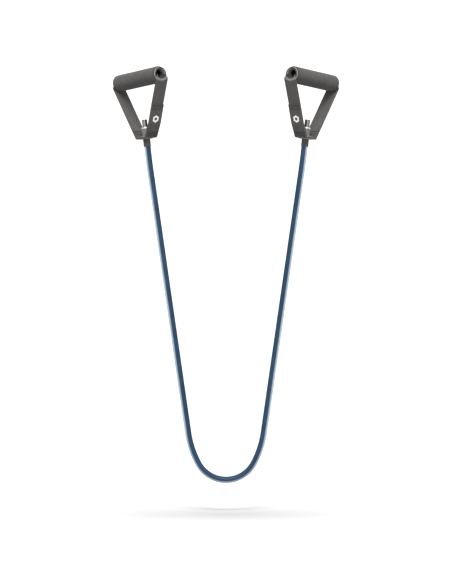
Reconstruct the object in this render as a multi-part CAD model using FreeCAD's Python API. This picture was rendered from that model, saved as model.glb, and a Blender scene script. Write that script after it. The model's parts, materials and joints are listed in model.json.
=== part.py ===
import FreeCAD, Part
import math
import os
from FreeCAD import Placement, Rotation, Vector

# Tube resistance band with two stirrup handles. Lengths are in millimetres and angles in degrees.
# The band hangs in a U in the XZ plane: +Z is up, X runs from the left handle to the right one, and the
# origin is the lowest point of the tube. The left handle is built and placed, and the right is its mirror.

# Elastic tube
TUBE_R = 5.5
BORE_R = 3.0
BOTTOM_BEND_R = 54.2
BOTTOM_BEND_DEG = 62.0
SHOULDER_BEND_R = 161.0
LEAN_DEG = 8.2
NECK_LEAN_DEG = 6.5
LEG_LENGTH = 469.5
STRETCH_SPLIT = 254.0
NECK_LENGTH = 41.0
SWING_LIMIT_DEG = 63.0
NECK_LIMIT_DEG = 50.0

# Clearances: sliding round faces, and faces that only meet end to end
RUNNING_GAP = 0.1
SNUG_GAP = 0.02
END_GAP = 0.05

# Webbing strap, one length whose two ends overlap at the grommet. Heights are above its underside there
WEB_WIDTH = 25.4
WEB_THICK = 1.8
PANEL_HALF = 14.3
BOW_X = 29.2
BOW_HEIGHT = 22.3
INNER_FLAP_HEIGHT = 15.0
OUTER_FLAP_HEIGHT = 53.0
CURL_R = 8.6
CURL_HALF_DEG = 94.0
SHOULDER = 90.8
LIP_DEPTH = 5.5

# Grip
GRIP_HEIGHT = 103.4
GRIP_SHIFT = -1.0
GRIP_TURN_DEG = 52.5
GRIP_HALF_LENGTH = 62.3
FOAM_R = 14.4
FOAM_ROUND = 1.6
CORE_R = 10.9
CORE_BORE_R = 9.9
RING_R = 12.8
RING_BORE_R = 9.0
RING_THICK = 1.5
RING_SPIGOT = 8.0
RING_LIP_ROUND = 0.9
STRAP_END_GAP = 0.2

# Anchor stack, measured up the tube from the underside of the strap
EYELET_FLANGE_R = 11.0
EYELET_FLANGE_THICK = 0.9
EYELET_WALL = 1.1
EYELET_ROLL_R = 7.8
EYELET_ROLL_THICK = 0.6
WASHER_R = 11.8
WASHER_THICK = 0.8
SLEEVE_R = 6.3
SLEEVE_LENGTH = 12.6
BUSHING_BOTTOM_R = 7.0
BUSHING_TOP_R = 7.75
BUSHING_HEIGHT = 10.9
CLAMP_R = 8.0
CLAMP_HEIGHT = 4.0
CLAMP_ROUND = 0.9
PLUG_HEAD_R = 4.45
PLUG_HEAD_HEIGHT = 12.8
PLUG_SHANK_LENGTH = 18.0
PLUG_CHAMFER = 0.4

# Thread and print on the strap. Rows are distances up from a fold, or back from a flap's end
STITCH_LENGTH = 2.2
STITCH_PITCH = 3.1
STITCH_WIDTH = 0.7
STITCH_PROUD = 0.35
STITCHES_PER_ROW = 7
BAR_TACK_ROWS = (3.0, 5.6, 8.2, 10.8)
SEAM_ROWS = (1.5, 4.5, 7.5)
PRINT_R = 6.6
PRINT_HOLE_R = 2.8
PRINT_THICK = 0.15
PRINT_DISTANCE = 8.5

X = Vector(1, 0, 0)
Y = Vector(0, 1, 0)
Z = Vector(0, 0, 1)
ORIGIN = Vector(0, 0, 0)


def rod(radius, low, high):
    """A cylinder on the Z axis between two heights."""
    return Part.makeCylinder(radius, high - low, Vector(0, 0, low), Z)


def pipe(outer, inner, low, high):
    """A hollow cylinder on the Z axis between two heights."""
    return rod(outer, low, high).cut(rod(inner, low - 1, high + 1))


def circles(shape, radius, height):
    """The circular edges of a given radius at a given height on the Z axis."""
    found = []
    for edge in shape.Edges:
        curve = edge.Curve
        if isinstance(curve, Part.Circle) and abs(curve.Radius - radius) < 1e-4:
            if abs(curve.Center.z - height) < 1e-4:
                found.append(edge)
    return found


# Tube

def bend_point(slope_deg):
    """The tube's centreline in the bend's right half, where it climbs at this angle from level."""
    slope = math.radians(slope_deg)
    joint = math.radians(min(slope_deg, BOTTOM_BEND_DEG))
    along = BOTTOM_BEND_R * math.sin(joint)
    up = BOTTOM_BEND_R * (1 - math.cos(joint))
    if slope_deg > BOTTOM_BEND_DEG:
        along += SHOULDER_BEND_R * (math.sin(slope) - math.sin(joint))
        up += SHOULDER_BEND_R * (math.cos(joint) - math.cos(slope))
    return Vector(along, 0, TUBE_R + up)


def bend_arc(radius, bend_r, first_deg, last_deg):
    """A round bar along one arc of the bend, from one slope to another."""
    slope = math.radians(first_deg)
    start = bend_point(first_deg)
    centre = start + Vector(-math.sin(slope), 0, math.cos(slope)) * bend_r
    section = Part.makeCircle(radius, start, Vector(math.cos(slope), 0, math.sin(slope)))
    return Part.Face(Part.Wire(section)).revolve(centre, -Y, last_deg - first_deg)


def along_bend(radius):
    """A round bar along the whole bend: a bottom arc between two flatter shoulder arcs."""
    bottom = bend_arc(radius, BOTTOM_BEND_R, -BOTTOM_BEND_DEG, BOTTOM_BEND_DEG)
    shoulder = bend_arc(radius, SHOULDER_BEND_R, BOTTOM_BEND_DEG, 90 - LEAN_DEG)
    return bottom.fuse([shoulder, shoulder.mirror(ORIGIN, X)])


def tube_bend():
    """The U at the bottom. Each end is a ball as wide as the tube, round which the leg turns."""
    bar = along_bend(TUBE_R)
    hollow = along_bend(BORE_R)
    for side in (-1, 1):
        top = bend_point(90 - LEAN_DEG)
        centre = Vector(side * top.x, 0, top.z)
        up = Vector(side * math.sin(math.radians(LEAN_DEG)), 0, math.cos(math.radians(LEAN_DEG)))
        bar = bar.fuse(Part.makeSphere(TUBE_R, centre))
        hollow = hollow.fuse(Part.makeCylinder(BORE_R, 2 * TUBE_R, centre - up * END_GAP, up))
    return bar.cut(hollow)


def cone_end(low, high, limit_deg):
    """A tube section whose lower end is a cone that clears a ball at height low, up to the limit."""
    limit = math.radians(limit_deg)
    ball_r = TUBE_R + END_GAP
    seat = Part.makeCone(ball_r / math.cos(limit), 0, ball_r / math.sin(limit), Vector(0, 0, low))
    return pipe(TUBE_R, BORE_R, low, high).cut(seat)


def ball_end(low, high):
    """A tube section whose upper end is a ball centred at height high."""
    ball = Part.makeSphere(TUBE_R, Vector(0, 0, high))
    solid = rod(TUBE_R, low, high).fuse(ball)
    return solid.cut(rod(BORE_R, low - 1, high + 2 * TUBE_R))


def tube_lower():
    """The leg from the bend up to where the stretch is measured."""
    return cone_end(0, STRETCH_SPLIT, SWING_LIMIT_DEG)


def tube_upper():
    """The leg from the stretch joint up to the flexing neck."""
    return ball_end(STRETCH_SPLIT + END_GAP, LEG_LENGTH)


def tube_neck():
    """The tube's end, from the neck's pivot through the grommet and the bushing to the top of the clamp ring."""
    return cone_end(0, NECK_LENGTH + stack_heights()["plug"] - END_GAP, NECK_LIMIT_DEG)


# Anchor stack, in the handle's own frame: Z up the tube, zero at the underside of the strap

def stack_heights():
    """Where each piece of the anchor stack starts."""
    washer = 2 * WEB_THICK
    roll = washer + WASHER_THICK
    bushing = roll + EYELET_ROLL_THICK + RUNNING_GAP
    clamp = bushing + BUSHING_HEIGHT
    plug = clamp + CLAMP_HEIGHT
    return {"washer": washer, "roll": roll, "bushing": bushing, "clamp": clamp, "plug": plug}


def grommet_eyelet():
    """Flange below the strap, barrel through it, and the rolled lip that holds the washer."""
    heights = stack_heights()
    bore = TUBE_R + RUNNING_GAP
    barrel_r = bore + EYELET_WALL
    top = heights["roll"] + EYELET_ROLL_THICK
    body = rod(EYELET_FLANGE_R, -EYELET_FLANGE_THICK, 0)
    body = body.fuse(rod(barrel_r, 0, top))
    body = body.fuse(rod(EYELET_ROLL_R, heights["roll"], top))
    return body.cut(rod(bore, -EYELET_FLANGE_THICK - 1, top + 1)).removeSplitter()


def grommet_washer():
    """Washer on the inside of the strap, with a rounded outer edge."""
    low = stack_heights()["washer"]
    high = low + WASHER_THICK
    disc = rod(WASHER_R, low, high)
    disc = disc.makeFillet(WASHER_THICK / 2, circles(disc, WASHER_R, high))
    return disc.cut(rod(TUBE_R + RUNNING_GAP + EYELET_WALL + SNUG_GAP, low - 1, high + 1))


def guard_sleeve():
    """Rubber sleeve on the tube below the grommet."""
    top = -EYELET_FLANGE_THICK - RUNNING_GAP
    sleeve = pipe(SLEEVE_R, TUBE_R + SNUG_GAP, top - SLEEVE_LENGTH, top)
    return sleeve.makeFillet(0.4, circles(sleeve, SLEEVE_R, top - SLEEVE_LENGTH))


def anchor_bushing():
    """Collar that widens upwards and bears on the grommet."""
    low = stack_heights()["bushing"]
    cone = Part.makeCone(BUSHING_BOTTOM_R, BUSHING_TOP_R, BUSHING_HEIGHT, Vector(0, 0, low), Z)
    return cone.cut(rod(TUBE_R + SNUG_GAP, low - 1, low + BUSHING_HEIGHT + 1))


def clamp_ring():
    """Metal ring crimped on the tube's end, with rounded outer edges."""
    low = stack_heights()["clamp"] + END_GAP
    high = stack_heights()["plug"] - END_GAP
    ring = rod(CLAMP_R, low, high)
    ring = ring.makeFillet(CLAMP_ROUND, circles(ring, CLAMP_R, low) + circles(ring, CLAMP_R, high))
    return ring.cut(rod(TUBE_R + SNUG_GAP, low - 1, high + 1))


def tube_plug():
    """Plug: a head that stands on the tube's end, and a shank inside the tube's bore."""
    low = stack_heights()["plug"]
    head = rod(PLUG_HEAD_R, low, low + PLUG_HEAD_HEIGHT)
    head = head.makeChamfer(PLUG_CHAMFER, circles(head, PLUG_HEAD_R, low + PLUG_HEAD_HEIGHT))
    return head.fuse(rod(BORE_R - SNUG_GAP, low - PLUG_SHANK_LENGTH, low))


# Strap, in the handle's own frame: X along the grip, towards the inboard end

def shifted(points, distance):
    """A line of points moved sideways, to its left, by a distance, with mitred corners."""
    normals = []
    for start, end in zip(points, points[1:]):
        run = (end - start).normalize()
        normals.append(Vector(-run.z, 0, run.x))
    moved = [points[0] + normals[0] * distance]
    for before, after, corner in zip(normals, normals[1:], points[1:]):
        moved.append(corner + (before + after) * (distance / (1 + before.dot(after))))
    moved.append(points[-1] + normals[-1] * distance)
    return moved


def ribbon(points):
    """A layer of webbing whose outer face follows these points, and whose thickness lies to their left."""
    edge = points + shifted(points, WEB_THICK)[::-1]
    outline = Part.Face(Part.makePolygon(edge + edge[:1]))
    return outline.extrude(Y * WEB_WIDTH).translated(Y * (-WEB_WIDTH / 2))


def at_height(start, end, height):
    """The point on the line from start to end at this height."""
    return start + (end - start) * ((height - start.z) / (end.z - start.z))


def strap_corners():
    """Outer-face corners of the strap: the panel's ends, the inboard leg's bow and the tops of the legs."""
    end_face = GRIP_HALF_LENGTH + STRAP_END_GAP + WEB_THICK
    return {
        "outboard_top": Vector(GRIP_SHIFT - end_face, 0, SHOULDER),
        "outboard": Vector(-PANEL_HALF, 0, 0),
        "inboard": Vector(PANEL_HALF, 0, 0),
        "bow": Vector(BOW_X, 0, BOW_HEIGHT),
        "inboard_top": Vector(GRIP_SHIFT + end_face, 0, SHOULDER),
    }


def outer_layer():
    """Outboard leg, panel, and the flap on the outside of the inboard leg."""
    c = strap_corners()
    flap_end = at_height(c["bow"], c["inboard_top"], OUTER_FLAP_HEIGHT)
    lip = Vector(c["outboard_top"].x, 0, GRIP_HEIGHT - LIP_DEPTH)
    return [lip, c["outboard_top"], c["outboard"], c["inboard"], c["bow"], flap_end]


def inner_layer():
    """The flap inside the outboard leg, panel, and the inboard leg up to the grip."""
    c = strap_corners()
    face = shifted([c["outboard_top"], c["outboard"], c["inboard"], c["bow"], c["inboard_top"]], WEB_THICK)
    flap_end = at_height(face[1], face[0], INNER_FLAP_HEIGHT)
    lip = Vector(c["inboard_top"].x, 0, GRIP_HEIGHT - LIP_DEPTH)
    return [flap_end, face[1], face[2], face[3], c["inboard_top"], lip]


def curl():
    """The webbing curled to a trough inside the grip's bore, its middle at the bottom."""
    half = GRIP_HALF_LENGTH + STRAP_END_GAP + WEB_THICK
    trough = Part.makeCylinder(CURL_R, 2 * half, Vector(0, 0, -half), Z, 2 * CURL_HALF_DEG)
    trough = trough.cut(rod(CURL_R - WEB_THICK, -half - 1, half + 1))
    trough.rotate(ORIGIN, Z, -CURL_HALF_DEG)
    return laid(trough)


def strap():
    """The whole strap, with the grommet's hole through both layers of the panel."""
    layers = ribbon(outer_layer()).fuse(ribbon(inner_layer()))
    bore = laid(rod(CURL_R - WEB_THICK, -2 * GRIP_HALF_LENGTH, 2 * GRIP_HALF_LENGTH))
    body = layers.cut(bore).fuse(curl()).removeSplitter()
    hole = rod(TUBE_R + RUNNING_GAP + EYELET_WALL + SNUG_GAP, -1, stack_heights()["roll"])
    return body.cut(hole)


# Thread and print

def on_face(start, end, distance):
    """Placement whose X axis runs from start to end and whose Z axis is the outward side of the strap."""
    run = (end - start).normalize()
    outward = Vector(run.z, 0, -run.x)
    turn = Rotation(run, outward.cross(run), outward, "ZXY")
    return Placement(start + run * distance, turn)


def stitch_row(start, end, distance):
    """A row of stitches across the webbing, at a distance from start."""
    row = []
    first = -STITCH_PITCH * (STITCHES_PER_ROW - 1) / 2
    for i in range(STITCHES_PER_ROW):
        corner = Vector(-STITCH_WIDTH / 2, first + i * STITCH_PITCH - STITCH_LENGTH / 2, 0)
        thread = Part.makeBox(STITCH_WIDTH, STITCH_LENGTH, STITCH_PROUD, corner)
        thread.Placement = on_face(start, end, distance)
        row.append(thread)
    return row


def strap_stitching():
    """Thread rows: a bar tack at the foot of the inboard leg, and a seam at each flap's end."""
    c = strap_corners()
    outer_flap = (outer_layer()[5] - c["bow"]).Length
    foot = (c["outboard_top"] - c["outboard"]).Length
    inner_flap = INNER_FLAP_HEIGHT / c["outboard_top"].z * foot
    rows = []
    for distance in BAR_TACK_ROWS:
        rows += stitch_row(c["inboard"], c["bow"], distance)
    for back in SEAM_ROWS:
        rows += stitch_row(c["bow"], c["inboard_top"], outer_flap - back)
        rows += stitch_row(c["outboard_top"], c["outboard"], foot - inner_flap + back)
    return Part.makeCompound(rows)


def strap_print():
    """Small hexagonal print on the outside of the inboard leg."""
    c = strap_corners()
    corners = []
    for i in range(7):
        angle = math.radians(60 * i)
        corners.append(Vector(PRINT_R * math.cos(angle), PRINT_R * math.sin(angle), 0))
    patch = Part.Face(Part.makePolygon(corners)).extrude(Z * PRINT_THICK)
    patch = patch.cut(rod(PRINT_HOLE_R, -1, 1))
    patch.Placement = on_face(c["bow"], c["inboard_top"], PRINT_DISTANCE)
    return patch


# Grip, built on the Z axis and then laid along the handle's X axis

def laid(shape):
    """Turns a piece built on the Z axis onto the grip's axis."""
    lying = Placement(Vector(GRIP_SHIFT, 0, GRIP_HEIGHT), Rotation(Y, 90))
    return shape.transformed(lying.toMatrix())


def core_half():
    return GRIP_HALF_LENGTH - RING_THICK


def foam_grip():
    """Foam sleeve with rounded ends."""
    half = core_half() - END_GAP
    foam = rod(FOAM_R, -half, half)
    foam = foam.makeFillet(FOAM_ROUND, circles(foam, FOAM_R, -half) + circles(foam, FOAM_R, half))
    return laid(foam.cut(rod(CORE_R + SNUG_GAP, -half - 1, half + 1)))


def grip_core():
    """Rigid tube inside the foam."""
    half = core_half() - END_GAP
    return laid(pipe(CORE_R, CORE_BORE_R, -half, half))


def grip_ring(side):
    """End ring: a flange on the core's end and a spigot in its bore, with a rounded lip for the webbing."""
    outer = GRIP_HALF_LENGTH
    inner = core_half()
    ring = rod(RING_R, inner, outer)
    ring = ring.fuse(rod(CORE_BORE_R - SNUG_GAP, inner - RING_SPIGOT, inner))
    ring = ring.cut(rod(RING_BORE_R, inner - RING_SPIGOT - 1, outer + 1)).removeSplitter()
    edges = circles(ring, RING_BORE_R, outer) + circles(ring, RING_R, outer)
    ring = ring.makeFillet(RING_LIP_ROUND, edges)
    if side < 0:
        ring = ring.mirror(ORIGIN, Z)
    return laid(ring)


# Placing

def leg_place():
    """From the leg's frame, zero at the swing pivot, to the band's frame."""
    pivot = bend_point(90 - LEAN_DEG)
    return Placement(Vector(-pivot.x, 0, pivot.z), Rotation(Y, -LEAN_DEG))


def neck_place():
    """From the neck's frame, zero at its pivot, to the band's frame."""
    return Placement(leg_place().multVec(Vector(0, 0, LEG_LENGTH)), Rotation(Y, -NECK_LEAN_DEG))


def handle_place():
    """From the handle's frame to the band's frame."""
    anchor = neck_place().multVec(Vector(0, 0, NECK_LENGTH))
    return Placement(anchor, Rotation(Y, -NECK_LEAN_DEG).multiply(Rotation(Z, -GRIP_TURN_DEG)))


def left_pieces():
    """Every piece of the left side, in place."""
    leg = {"tube_lower": tube_lower(), "tube_upper": tube_upper()}
    handle = {
        "guard_sleeve": guard_sleeve(),
        "grommet_eyelet": grommet_eyelet(),
        "grommet_washer": grommet_washer(),
        "anchor_bushing": anchor_bushing(),
        "clamp_ring": clamp_ring(),
        "tube_plug": tube_plug(),
        "strap": strap(),
        "strap_stitching": strap_stitching(),
        "strap_print": strap_print(),
        "foam_grip": foam_grip(),
        "grip_core": grip_core(),
        "grip_ring_inboard": grip_ring(1),
        "grip_ring_outboard": grip_ring(-1),
    }
    placed = {"tube_neck": tube_neck().transformed(neck_place().toMatrix())}
    for name, shape in leg.items():
        placed[name] = shape.transformed(leg_place().toMatrix())
    for name, shape in handle.items():
        placed[name] = shape.transformed(handle_place().toMatrix())
    return placed


def main():
    os.makedirs("parts", exist_ok=True)
    nodes = {"tube_bend": tube_bend()}
    for name, shape in left_pieces().items():
        nodes["left_" + name] = shape
        nodes["right_" + name] = shape.mirror(ORIGIN, X)
    for name, shape in nodes.items():
        shape.exportStep(os.path.join("parts", name + ".step"))


main()
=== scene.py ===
import json
import math

import bpy
import bmesh
import numpy as np
from mathutils import Matrix, Vector, noise


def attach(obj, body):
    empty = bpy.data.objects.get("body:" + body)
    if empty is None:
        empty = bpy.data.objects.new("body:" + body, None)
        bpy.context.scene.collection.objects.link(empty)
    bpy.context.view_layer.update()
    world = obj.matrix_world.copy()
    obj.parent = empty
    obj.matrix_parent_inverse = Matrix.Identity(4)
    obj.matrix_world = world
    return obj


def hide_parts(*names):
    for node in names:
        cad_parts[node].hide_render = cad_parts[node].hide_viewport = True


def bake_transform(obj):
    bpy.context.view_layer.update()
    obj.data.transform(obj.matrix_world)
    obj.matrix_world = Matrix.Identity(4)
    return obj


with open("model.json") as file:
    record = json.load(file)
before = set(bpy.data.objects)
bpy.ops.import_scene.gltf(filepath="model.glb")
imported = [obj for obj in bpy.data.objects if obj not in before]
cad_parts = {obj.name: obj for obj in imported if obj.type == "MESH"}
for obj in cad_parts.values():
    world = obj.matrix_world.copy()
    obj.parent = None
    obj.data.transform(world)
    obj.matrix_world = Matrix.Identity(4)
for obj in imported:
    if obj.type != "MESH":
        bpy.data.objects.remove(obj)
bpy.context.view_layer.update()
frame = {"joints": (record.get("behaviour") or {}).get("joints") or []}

# A tube resistance band with two stirrup handles. Lengths are in metres unless a name says otherwise.
# The left handle's pieces are drawn in the handle's own frame and placed by the CAD joints, and the right
# handle's are the mirror image. In the handle's frame Z runs up the tube from the underside of the strap,
# X runs along the grip to its inboard end, and Y runs across the webbing.

JOINTS = {joint["name"]: joint for joint in frame["joints"]}
MM = 0.001
SHARP_ANGLE = math.radians(50)
MERGE_DISTANCE = 1e-7
BLACK = (0, 0, 0, 1)
WHITE = (1, 1, 1, 1)

# Gaps between pieces: gripped, free to turn, and end to end
SNUG_GAP = 0.02 * MM
RUNNING_GAP = 0.1 * MM
END_GAP = 0.05 * MM

# Elastic tube: distances up a leg start at the swing pivot, the neck's zone and curve reach both ways
# from the neck pivot, and the tube's top is a height above the underside of the strap
TUBE_R = 5.5 * MM
BORE_R = 3.0 * MM
BOTTOM_BEND_R = 54.2 * MM
BOTTOM_BEND_DEG = 62.0
SHOULDER_BEND_R = 161.0 * MM
SWING_ZONE = 60 * MM
LOWER_PIECE_END = 75 * MM
UPPER_PIECE_END = 428 * MM
NECK_ZONE = 27 * MM
NECK_CURVE = 18 * MM
TUBE_TOP = 19.8 * MM
STATION_STEP = 3.0 * MM
BEND_STATIONS = 72

# Webbing: its layers' spacing is a little more than its thickness, so that they don't touch.
# Points are in the handle's XZ plane, on the strap's outer face.
WEB_WIDTH = 25.4 * MM
WEB_THICK = 1.75 * MM
LAYER_STEP = 1.8 * MM
SELVEDGE = 1.4 * MM
# Reaches of the strap's marks: the dark cut ends (heat-sealed, and painted shade under the flap ends), the
# painted shade inside the grip's bore, and the painted highlight on the crests
SEALED_AND_SHADED_END = 1.3 * MM
CREST_HIGHLIGHT_REACH = 2.2 * MM
BORE_SHADE_START = 3.2 * MM
EDGE_SHARES = (0, 0.006, 0.02, 0.045, 0.08, 0.11)
MIDDLE_SHARE = 0.8
MIDDLE_LINES = 21
PANEL_HALF = 14.3 * MM
BOW = (29.2 * MM, 22.3 * MM)
INNER_FLAP_HEIGHT = 15.0 * MM
OUTER_FLAP_HEIGHT = 53.0 * MM
INBOARD_TOP = (63.3 * MM, 90.8 * MM)
OUTBOARD_TOP = (-65.3 * MM, 90.8 * MM)
FOLD_R = 1.4 * MM
BOW_ROUND = 40 * MM
FLAP_LEAD = 3 * MM
STRAP_STEP = 1.6 * MM
STRAP_ARC_STEPS = 10
PANEL_HOLE_R = 6.74 * MM
DRILL_LOW = -3 * MM
DRILL_TOP = 8 * MM

# The strap's crest, where it turns into the grip: a shallow V that hangs below the grip's axis.
# Towards the webbing's edges its trough through the grip gets longer, and the trough's lips rounder.
CREST_DROP = 10.4 * MM
CREST_RISE = 3.4 * MM
CREST_V_ROUND = 1.6 * MM
CREST_R = 1.5 * MM
CREST_LEAN = 0.3
CREST_INSET = 0.25 * MM
TROUGH_R = 7.7 * MM
TROUGH_SHORT = 0.1 * MM
TROUGH_FLARE = 2.3 * MM
LIP_R = 2.2 * MM
LIP_R_GROWTH = 1.3 * MM

# Thread and print: rows are distances in millimetres, up from the leg's foot or back from a flap's end
STITCH_LENGTH = 2.6 * MM
STITCH_PITCH = 2.9 * MM
STITCHES_PER_ROW = 8
STITCH_POINTS = 7
STITCH_CROWN = 0.5 * MM
STITCH_SINK = 0.18 * MM
THREAD_R = 0.33 * MM
BAR_TACK_ROWS = (3.0, 4.6, 6.2, 7.8, 9.4, 11.0)
BAR_TACK_LEAN = 1.1 * MM
SEAM_ROWS = (1.5, 4.5, 7.5)
PRINT_DISTANCE = 8.5 * MM
PRINT_R = 6.6 * MM
PRINT_HOLE_R = 2.8 * MM
PRINT_THICK = 0.14 * MM

# Grip: the foam's dents are a noise scale and a depth each, and foam next to the core stays round
GRIP_HALF = 62.3 * MM
FOAM_R = 14.4 * MM
FOAM_HALF = 60.75 * MM
FOAM_GAP = 2.0 * MM
FOAM_ROUND = 1.9 * MM
FOAM_STEP = 2 * MM
FOAM_SEAT = 1 * MM
FOAM_DENTS = ((130, 0.14 * MM), (45, 0.12 * MM))
CORE_R = 10.9 * MM
CORE_BORE_R = 9.9 * MM
RING_R = 12.8 * MM
RING_BORE_R = 9.0 * MM
RING_THICK = 1.5 * MM
RING_SPIGOT = 8.0 * MM

# Anchor stack: heights from the underside of the strap, and radii
PANEL_TOP = 3.6 * MM
WASHER_TOP = 4.4 * MM
ROLL_TOP = 5.0 * MM
BUSHING_LOW = 5.1 * MM
BUSHING_TOP = 16.0 * MM
CLAMP_TOP = 19.95 * MM
PLUG_TOP = 32.8 * MM
FLANGE_LOW = -0.9 * MM
SLEEVE_TOP = -1.0 * MM
SLEEVE_LOW = -13.6 * MM
SLEEVE_R = 6.3 * MM
EYELET_WALL = 1.1 * MM
FLANGE_R = 11.0 * MM
ROLL_R = 7.8 * MM
WASHER_R = 11.8 * MM
BUSHING_LOW_R = 7.0 * MM
BUSHING_TOP_R = 7.75 * MM
CLAMP_R = 8.0 * MM
PLUG_R = 4.45 * MM
SHANK_R = 2.95 * MM
SHANK_LOW = 2.0 * MM

# Studio: powers in watts, and watts per square metre for the key
FLOOR_HALF = 150.0
FLOOR_HEIGHT = -0.05
FLOOR_BOUNCE = 0.35
SKY_LOW = 0.05
SKY_HIGH = 0.75
BACKDROP = 1.3
KEY_POWER = 3.0
KEY_SPREAD_DEG = 26
KEY_PLACE = (0, -2.4, 2.8)
KEY_TARGET = (0, 0, 0.3)
SIDE_POWER = 6
SIDE_PLACE = (2.0, -0.9, 0.6)
FRONT_POWER = 14
FRONT_PLACE = (0, -2.0, 1.3)
BOX_SIZE = (0.6, 1.8)
BOX_TARGET = (0, 0, 0.4)
FLOOR_TONES = (0.95, 0.97)
SHADE_REACH = (0.48, 0.32)
SHADE_FORWARD = 0.05
SHADE_DEPTH = 0.45
CAMERA_DISTANCE = 4.5
CAMERA_HEIGHT = 0.3285
PICTURE_HEIGHT = 1.0045
SENSOR = 36


# Frames

def handle_frame():
    """The left handle's frame in the band's frame."""
    swivel = JOINTS["left_handle_swivel"]
    up = Vector(swivel["axis"]).normalized()
    along = Vector(JOINTS["left_grip_spin"]["axis"]).normalized()
    across = up.cross(along)
    turn = Matrix((along, across, up)).transposed().to_4x4()
    return Matrix.Translation(Vector(swivel["pos_m"])) @ turn


HANDLE = handle_frame()
GRIP_SHIFT, _, GRIP_HEIGHT = HANDLE.inverted() @ Vector(JOINTS["left_grip_spin"]["pos_m"])
GRIP = HANDLE @ Matrix.Translation((GRIP_SHIFT, 0, GRIP_HEIGHT)) @ Matrix.Rotation(math.pi / 2, 4, "Y")
MIRROR = {"left": Matrix.Identity(4), "right": Matrix.Diagonal((-1, 1, 1, 1))}
SWING_PIVOT = Vector(JOINTS["left_leg_swing"]["pos_m"])
NECK_PIVOT = Vector(JOINTS["left_neck_bend"]["pos_m"])
LEG_LENGTH = (NECK_PIVOT - SWING_PIVOT).length
LEG_UP = (NECK_PIVOT - SWING_PIVOT).normalized()
NECK_LENGTH = (HANDLE.translation - NECK_PIVOT).length
NECK_UP = (HANDLE.translation - NECK_PIVOT).normalized()


def on_leg(distance):
    """A point on the left leg's centreline, measured from the swing pivot."""
    return SWING_PIVOT + LEG_UP * distance


# Outlines

def unit(vector):
    """The vector with length 1."""
    return vector / np.linalg.norm(vector)


def rounded(points, radii, closed=False, steps=6):
    """A line of points with each corner turned into an arc of its own radius."""
    points = [np.array(p, float) for p in points]
    count = len(points)
    path = []
    for i, corner in enumerate(points):
        radius = radii[i]
        if radius <= 0 or (not closed and i in (0, count - 1)):
            path.append(corner)
            continue
        back = points[i - 1] - corner
        ahead = points[(i + 1) % count] - corner
        half = math.acos(np.clip(unit(back) @ unit(ahead), -1, 1)) / 2
        centre = corner + unit(unit(back) + unit(ahead)) * (radius / math.sin(half))
        first = corner + unit(back) * (radius / math.tan(half)) - centre
        last = corner + unit(ahead) * (radius / math.tan(half)) - centre
        sweep = math.pi - 2 * half
        for k in range(steps + 1):
            t = k / steps
            mixed = (math.sin((1 - t) * sweep) * first + math.sin(t * sweep) * last) / math.sin(sweep)
            path.append(centre + mixed)
    return np.array(path)


def offset_line(points, distance):
    """A line of 2-D points moved to its left, with mitred corners."""
    points = [np.array(p, float) for p in points]
    normals = []
    for start, end in zip(points, points[1:]):
        run = unit(end - start)
        normals.append(np.array((-run[1], run[0])))
    moved = [points[0] + normals[0] * distance]
    for before, after, corner in zip(normals, normals[1:], points[1:]):
        moved.append(corner + (before + after) * distance / (1 + before @ after))
    moved.append(points[-1] + normals[-1] * distance)
    return moved


def at_height(start, end, height):
    """The point at this height on the line through two points."""
    return start + (end - start) * (height - start[1]) / (end[1] - start[1])


# Meshes

def add_piece(name, points, faces, place, uvs=None):
    """A mesh object from points in a local frame, put in place. A mirrored one keeps its outside."""
    mesh = bpy.data.meshes.new(name)
    mesh.from_pydata([place @ Vector(p) for p in points], [], faces)
    if place.determinant() < 0:
        mesh.flip_normals()
    if uvs is not None:
        layer = mesh.uv_layers.new(name="UVMap")
        for loop in mesh.loops:
            layer.data[loop.index].uv = uvs[loop.vertex_index]
    work = bmesh.new()
    work.from_mesh(mesh)
    bmesh.ops.remove_doubles(work, verts=work.verts, dist=MERGE_DISTANCE)
    work.to_mesh(mesh)
    work.free()
    mesh.shade_smooth()
    mesh.set_sharp_from_angle(angle=SHARP_ANGLE)
    piece = bpy.data.objects.new(name, mesh)
    bpy.context.scene.collection.objects.link(piece)
    return piece


def even_shading(piece):
    """Keeps flat faces flat beside rounded edges."""
    modifier = piece.modifiers.new("even_shading", "WEIGHTED_NORMAL")
    modifier.keep_sharp = True


def recalculate(piece):
    """Turns all faces of a closed mesh outwards."""
    work = bmesh.new()
    work.from_mesh(piece.data)
    bmesh.ops.recalc_face_normals(work, faces=work.faces)
    work.to_mesh(piece.data)
    work.free()


def lathe(profile, segments=96):
    """Points and faces of a closed (radius, height) outline turned about the Z axis."""
    points, faces = [], []
    count = len(profile)
    for i in range(segments):
        angle = 2 * math.pi * i / segments
        points += [(r * math.cos(angle), r * math.sin(angle), z) for r, z in profile]
    for i in range(segments):
        here, there = i * count, (i + 1) % segments * count
        for k in range(count):
            after = (k + 1) % count
            faces.append((here + k, there + k, there + after, here + after))
    return points, faces


def turned(name, outline, radii, place, slot, body, node):
    """A lathe-turned piece with rounded corners, which stands for one CAD node."""
    points, faces = lathe(rounded(outline, radii, closed=True))
    piece = add_piece(name, points, faces, place)
    even_shading(piece)
    finish_piece(piece, slot, body, node)


def finish_piece(piece, slot, body, *nodes):
    """Gives a piece its material, attaches it to its CAD body or, for a blend, bakes it in place, and hides
    the CAD nodes it stands for.
    """
    piece.data.materials.append(MATERIALS[slot])
    if isinstance(body, str):
        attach(piece, body)
    else:
        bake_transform(piece)
    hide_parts(*nodes)


def loop_faces(rings, per_ring):
    """Quads between neighbouring rings of points."""
    faces = []
    for i in range(rings - 1):
        for k in range(per_ring):
            after = (k + 1) % per_ring
            low, high = i * per_ring, (i + 1) * per_ring
            faces.append((low + k, low + after, high + after, high + k))
    return faces


# Materials

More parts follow.
